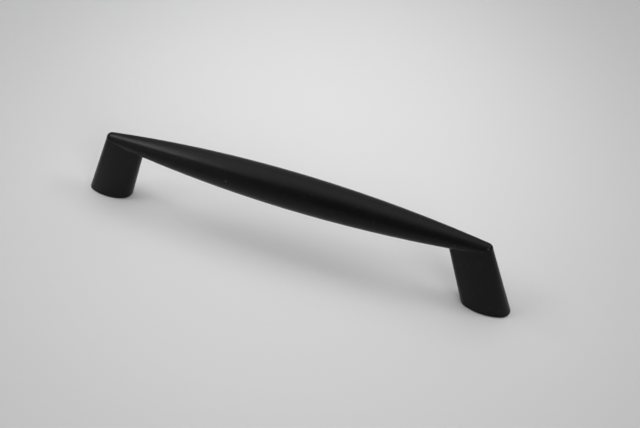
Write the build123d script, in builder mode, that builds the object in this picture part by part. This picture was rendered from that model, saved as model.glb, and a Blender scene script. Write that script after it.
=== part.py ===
"""Bar pull: a spindle-shaped bar on two splayed oval feet, cast as one piece.

The origin is on the mounting face, midway between the two screw holes. +X runs along the bar and +Z points away
from the drawer front, so the pull stands on its feet. All lengths are in millimetres.
"""
import os
from math import sqrt

from build123d import *

# Mounting
hole_spacing = 128.0
tap_drill_diameter = 3.3
tap_drill_depth = 10.0
lead_in_diameter = 4.4
lead_in_angle = 90.0

# Bar
projection = 28.0
bar_length = 125.5
bar_diameter = 11.5
nose_radius = 1.8

# Feet, from the oval on the drawer front to the narrower one that ends inside the bar
foot_base_length = 15.1
foot_base_width = 8.6
foot_base_bow = 0.8
foot_edge_chamfer = 0.4
foot_top_length = 13.6
foot_top_bow = 0.4
foot_top_rise = 0.5
foot_top_cover = 0.06
foot_to_span = 2.0

# The bar's outline is one long arc that runs into a round nose at each end
bar_radius = bar_diameter / 2
bar_axis_height = projection - bar_radius
bar_tip = bar_length / 2
nose_centre = bar_tip - nose_radius
flank_radius = (nose_centre**2 + bar_radius**2 - nose_radius**2) / (2 * (bar_radius - nose_radius))
nose_start = nose_centre * flank_radius / (flank_radius - nose_radius)

# The top of a foot is concentric with the nose and just inside it
foot_top_end_radius = sqrt(nose_radius**2 - foot_top_rise**2) - foot_top_cover
foot_top_width = 2 * (foot_top_end_radius + foot_top_bow)
foot_top_centre = nose_centre + foot_top_end_radius - foot_top_length / 2
span_end = foot_top_centre - foot_top_length / 2 - foot_to_span


def oval(plane, length, width, bow):
    """An oval of four arcs that run into each other: two round ends and two bowed sides."""
    end_radius = width / 2 - bow
    end_centre = length / 2 - end_radius
    side_radius = (end_centre**2 + bow * (width - bow)) / (2 * bow)
    reach = end_radius / (side_radius - end_radius)
    x = end_centre * (1 + reach)
    y = (side_radius - width / 2) * reach
    with BuildSketch(plane) as section:
        with BuildLine():
            ThreePointArc((x, -y), (length / 2, 0), (x, y))
            ThreePointArc((x, y), (0, width / 2), (-x, y))
            ThreePointArc((-x, y), (-length / 2, 0), (-x, -y))
            ThreePointArc((-x, -y), (0, -width / 2), (x, -y))
        make_face()
    return section.sketch


def on_flank(x):
    """The point of the bar's long arc at a distance x from the middle."""
    return (x, bar_radius - flank_radius + sqrt(flank_radius**2 - x**2))


with BuildPart() as bar_pull:
    # A foot leans in from its base until its outer end runs into the nose of the bar
    base_plane = Plane((hole_spacing / 2, 0, 0))
    top_plane = Plane((foot_top_centre, 0, bar_axis_height + foot_top_rise))
    base_oval = oval(base_plane, foot_base_length, foot_base_width, foot_base_bow)
    top_oval = oval(top_plane, foot_top_length, foot_top_width, foot_top_bow)
    loft(sections=[base_oval, top_oval], ruled=True)
    chamfer(bar_pull.faces().sort_by(Axis.Z)[0].edges(), foot_edge_chamfer)

    # The bar is turned: a plain span from the middle to the foot
    bar_plane = Plane((0, 0, bar_axis_height), x_dir=(1, 0, 0), z_dir=(0, -1, 0))
    bar_axis = Axis((0, 0, bar_axis_height), (1, 0, 0))
    with BuildSketch(bar_plane):
        with BuildLine():
            span = TangentArc(on_flank(0), on_flank(span_end), tangent=(1, 0))
            Polyline(span @ 1, (span_end, 0), (0, 0), span @ 0)
        make_face()
    revolve(axis=bar_axis)

    # The same arc goes on over the foot and ends in the nose
    with BuildSketch(bar_plane):
        with BuildLine():
            end = TangentArc(on_flank(span_end), on_flank(nose_start), tangent=span % 1)
            nose = TangentArc(end @ 1, (bar_tip, 0), tangent=end % 1)
            Polyline(nose @ 1, (span_end, 0), end @ 0)
        make_face()
    revolve(axis=bar_axis)

    # A blind tapped hole for the screw that comes through the drawer front
    with Locations(-base_plane):
        CounterSinkHole(tap_drill_diameter / 2, lead_in_diameter / 2, tap_drill_depth, lead_in_angle)

    # The other half of the pull mirrors this one
    mirror(about=Plane.YZ)

bar_pull.part.label = "bar_pull"
os.makedirs("parts", exist_ok=True)
export_step(bar_pull.part, "parts/bar_pull.step")
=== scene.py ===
import math

import bpy
from mathutils import Matrix, Vector

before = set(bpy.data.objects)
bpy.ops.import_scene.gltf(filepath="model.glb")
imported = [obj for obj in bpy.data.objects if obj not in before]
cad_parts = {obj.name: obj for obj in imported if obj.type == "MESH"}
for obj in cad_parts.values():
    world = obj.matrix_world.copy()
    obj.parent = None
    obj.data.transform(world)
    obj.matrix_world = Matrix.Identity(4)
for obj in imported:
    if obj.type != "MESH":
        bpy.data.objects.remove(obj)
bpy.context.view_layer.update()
scene = bpy.context.scene

# Lengths are in metres, and a texture's scale is in waves or cells per metre

# Coat
coat_black = (0.0018, 0.0018, 0.0018, 1)
coat_ior = 1.5
coat_specular = 0.165
glossiest, dullest = 0.29, 0.36
gloss_patch_scale = 260.0
corner_radius = 0.0006
corner_samples = 8
grain_scale = 2600.0
grain_roughness = 0.6
grain_depth = 0.00004
grain_strength = 0.2
dust_grey = (0.16, 0.16, 0.155, 1)

# Board, with a pool of light painted into its tone
board_size = 6.0
board_gap = 0.00002
board_roughness = 0.8
board_specular = 0.1
# Painted pool of light on the board: the tone in its middle and at its rim, and the oval it fills
painted_pool_middle = (0.699, 0.699, 0.699, 1)
painted_pool_rim = (0.417, 0.417, 0.417, 1)
painted_pool_centre = (-0.0155, 0.0626, 0)
painted_pool_radii = (0.128, 0.178, 1.0)
painted_pool_turn = math.radians(20.6)

# Room
ceiling_height = 0.9
ambient = 0.15

# Camera
azimuth, elevation, roll = math.radians(20.63), math.radians(41.86), math.radians(2.65)
target = Vector((0.01021, 0, 0.01646))
distance = 0.2844
lens_mm, sensor_mm = 53.30, 36.0
clip_start = 0.01

# Noise textures: the range that most of one lies in, and the detail
noise_low, noise_high = 0.3, 0.7
noise_detail = 3.0

# A Mix node's sockets for colours
mix_a, mix_b, mix_result = 6, 7, 2


def material(name):
    """An empty node material: returns it with its nodes, links and output."""
    mat = bpy.data.materials.new(name)
    mat.use_nodes = True
    nodes, links = mat.node_tree.nodes, mat.node_tree.links
    nodes.clear()
    out = nodes.new("ShaderNodeOutputMaterial")
    return mat, nodes, links, out


def noise(nodes, links, coord, scale, roughness=0.5):
    """Smooth random waves."""
    tex = nodes.new("ShaderNodeTexNoise")
    tex.inputs["Scale"].default_value = scale
    tex.inputs["Detail"].default_value = noise_detail
    tex.inputs["Roughness"].default_value = roughness
    links.new(coord, tex.inputs["Vector"])
    return tex.outputs["Fac"]


def spread(nodes, links, value, low, high, to_low, to_high):
    """Maps value from low..high onto to_low..to_high, held at both ends."""
    node = nodes.new("ShaderNodeMapRange")
    for key, number in (("From Min", low), ("From Max", high), ("To Min", to_low), ("To Max", to_high)):
        node.inputs[key].default_value = number
    links.new(value, node.inputs["Value"])
    return node.outputs["Result"]


def combine(nodes, links, operation, *values):
    """The result of a Math node on these values."""
    node = nodes.new("ShaderNodeMath")
    node.operation = operation
    for value, socket in zip(values, node.inputs):
        links.new(value, socket)
    return node.outputs["Value"]


def specks(nodes, links, coord, scale, size, rarity, strength):
    """Scattered dots: 0 between them, up to strength in the middle third of one.

    A dot's size is a share of its cell, and only cells whose random number is above rarity hold one.
    """
    cells = nodes.new("ShaderNodeTexVoronoi")
    cells.inputs["Scale"].default_value = scale
    links.new(coord, cells.inputs["Vector"])
    pick = nodes.new("ShaderNodeSeparateColor")
    links.new(cells.outputs["Color"], pick.inputs["Color"])
    dot = spread(nodes, links, cells.outputs["Distance"], size / 3, size, 1.0, 0.0)
    weight = spread(nodes, links, pick.outputs["Red"], rarity, 1.0, 0.0, strength)
    return combine(nodes, links, "MULTIPLY", dot, weight)


def black_coat():
    """Satin black powder coat: a fine grain, a slightly uneven gloss and specks of pale dust."""
    mat, nodes, links, out = material("black_coat_fine")
    coord = nodes.new("ShaderNodeTexCoord").outputs["Object"]
    bsdf = nodes.new("ShaderNodeBsdfPrincipled")
    bsdf.inputs["IOR"].default_value = coat_ior
    bsdf.inputs["Specular IOR Level"].default_value = coat_specular
    links.new(bsdf.outputs["BSDF"], out.inputs["Surface"])

    patches = noise(nodes, links, coord, gloss_patch_scale)
    gloss = spread(nodes, links, patches, noise_low, noise_high, glossiest, dullest)
    links.new(gloss, bsdf.inputs["Roughness"])

    # The coat rounds off the casting's corners
    soft = nodes.new("ShaderNodeBevel")
    soft.samples = corner_samples
    soft.inputs["Radius"].default_value = corner_radius
    grain = noise(nodes, links, coord, grain_scale, grain_roughness)
    bump = nodes.new("ShaderNodeBump")
    bump.inputs["Strength"].default_value = grain_strength
    bump.inputs["Distance"].default_value = grain_depth
    links.new(grain, bump.inputs["Height"])
    links.new(soft.outputs["Normal"], bump.inputs["Normal"])
    links.new(bump.outputs["Normal"], bsdf.inputs["Normal"])

    # A few specks that stand out, and many faint ones
    few = specks(nodes, links, coord, scale=330.0, size=0.08, rarity=0.75, strength=1.0)
    many = specks(nodes, links, coord, scale=1300.0, size=0.24, rarity=0.7, strength=0.22)
    tint = nodes.new("ShaderNodeMix")
    tint.data_type = "RGBA"
    tint.inputs[mix_a].default_value = coat_black
    tint.inputs[mix_b].default_value = dust_grey
    links.new(combine(nodes, links, "MAXIMUM", few, many), tint.inputs["Factor"])
    links.new(tint.outputs[mix_result], bsdf.inputs["Base Color"])
    return mat


def table_top():
    """A plain pale matt board, with a pool of light painted into its tone: lighter in an oval round the
    pull.
    """
    mat, nodes, links, out = material("table_top")
    coord = nodes.new("ShaderNodeTexCoord").outputs["Object"]
    bsdf = nodes.new("ShaderNodeBsdfPrincipled")
    bsdf.inputs["Roughness"].default_value = board_roughness
    bsdf.inputs["Specular IOR Level"].default_value = board_specular
    links.new(bsdf.outputs["BSDF"], out.inputs["Surface"])

    # Painted light: the tone falls off with the square of the distance from the painted pool's centre,
    # and levels out
    painted_pool_map = nodes.new("ShaderNodeMapping")
    painted_pool_map.vector_type = "TEXTURE"
    painted_pool_map.inputs["Location"].default_value = painted_pool_centre
    painted_pool_map.inputs["Rotation"].default_value = (0, 0, painted_pool_turn)
    painted_pool_map.inputs["Scale"].default_value = painted_pool_radii
    links.new(coord, painted_pool_map.inputs["Vector"])
    away = nodes.new("ShaderNodeVectorMath")
    away.operation = "DOT_PRODUCT"
    links.new(painted_pool_map.outputs["Vector"], away.inputs[0])
    links.new(painted_pool_map.outputs["Vector"], away.inputs[1])
    ramp = nodes.new("ShaderNodeValToRGB")
    ramp.color_ramp.elements[0].color = painted_pool_middle
    ramp.color_ramp.elements[1].color = painted_pool_rim
    links.new(combine(nodes, links, "TANH", away.outputs["Value"]), ramp.inputs["Fac"])
    links.new(ramp.outputs["Color"], bsdf.inputs["Base Color"])
    return mat


def area_light(name, place, aim, width, height, radiance):
    """A rectangle that gives off this radiance evenly, hidden from the camera."""
    data = bpy.data.lights.new(name, "AREA")
    data.shape = "RECTANGLE"
    data.size, data.size_y = width, height
    data.energy = radiance * math.pi * width * height
    lamp = bpy.data.objects.new(name, data)
    lamp.location = place
    lamp.rotation_euler = (Vector(aim) - Vector(place)).to_track_quat("-Z", "Y").to_euler()
    lamp.visible_camera = False
    scene.collection.objects.link(lamp)


def ceiling_panel(name, x, y, width, depth, radiance):
    """A part of the ceiling, with its middle over x, y."""
    area_light(name, (x, y, ceiling_height), (x, y, 0), width, depth, radiance)


# The pull
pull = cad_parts["bar_pull"]
pull.data.materials.clear()
pull.data.materials.append(black_coat())

# The board, just under the feet
bpy.ops.mesh.primitive_plane_add(size=board_size, location=(0, 0, -board_gap))
floor = bpy.context.object
floor.name = "floor"
floor.data.materials.append(table_top())

# Light: a pale ceiling over the left that reaches back, walls round the pull, and a soft box on each side
ceiling_panel("ceiling", x=-0.28, y=0.25, width=1.24, depth=0.8, radiance=1.22)
ceiling_panel("ceiling_front", x=-0.28, y=-0.325, width=1.24, depth=0.35, radiance=0.65)
ceiling_panel("ceiling_behind", x=0, y=1.3, width=2.4, depth=1.3, radiance=0.5)
area_light("wall_behind", (0, 1.9, 0.6), aim=(0, 0, 0.6), width=3.0, height=1.2, radiance=0.2)
area_light("wall_front", (-1.25, -2.0, 0.12), aim=(0, 0, 0.02), width=2.2, height=0.3, radiance=0.6)
area_light("wall_left", (-1.3, -1.0, 0.6), aim=(0, 0, 0.2), width=1.4, height=0.8, radiance=0.7)
area_light("wall_right", (1.2, -1.1, 0.85), aim=(0, 0, 0), width=0.85, height=0.85, radiance=4.8)
area_light("left_box", (-0.475, -0.12, 0.515), aim=(0, 0, 0.01), width=0.44, height=0.12, radiance=8.8)
area_light("right_box", (0.45, 0.14, 0.53), aim=(0, 0, 0.01), width=0.26, height=0.12, radiance=10.8)
world = bpy.data.worlds.new("room")
world.use_nodes = True
background = world.node_tree.nodes["Background"]
background.inputs["Color"].default_value = (1, 1, 1, 1)
background.inputs["Strength"].default_value = ambient
scene.world = world

# The camera, at the place that fits the photograph's outline of the pull
back = Vector((
    math.sin(azimuth) * math.cos(elevation),
    -math.cos(azimuth) * math.cos(elevation),
    math.sin(elevation),
))
level = Vector((math.cos(azimuth), math.sin(azimuth), 0))
upright = back.cross(level)
right = math.cos(roll) * level + math.sin(roll) * upright
up = math.cos(roll) * upright - math.sin(roll) * level
place = target + distance * back
cam_data = bpy.data.cameras.new("camera")
cam_data.sensor_fit = "HORIZONTAL"
cam_data.sensor_width = sensor_mm
cam_data.lens = lens_mm
cam_data.clip_start = clip_start
camera = bpy.data.objects.new("camera", cam_data)
camera.matrix_world = Matrix((
    (right.x, up.x, back.x, place.x),
    (right.y, up.y, back.y, place.y),
    (right.z, up.z, back.z, place.z),
    (0, 0, 0, 1),
))
scene.collection.objects.link(camera)
scene.camera = camera
scene.view_settings.view_transform = "Standard"
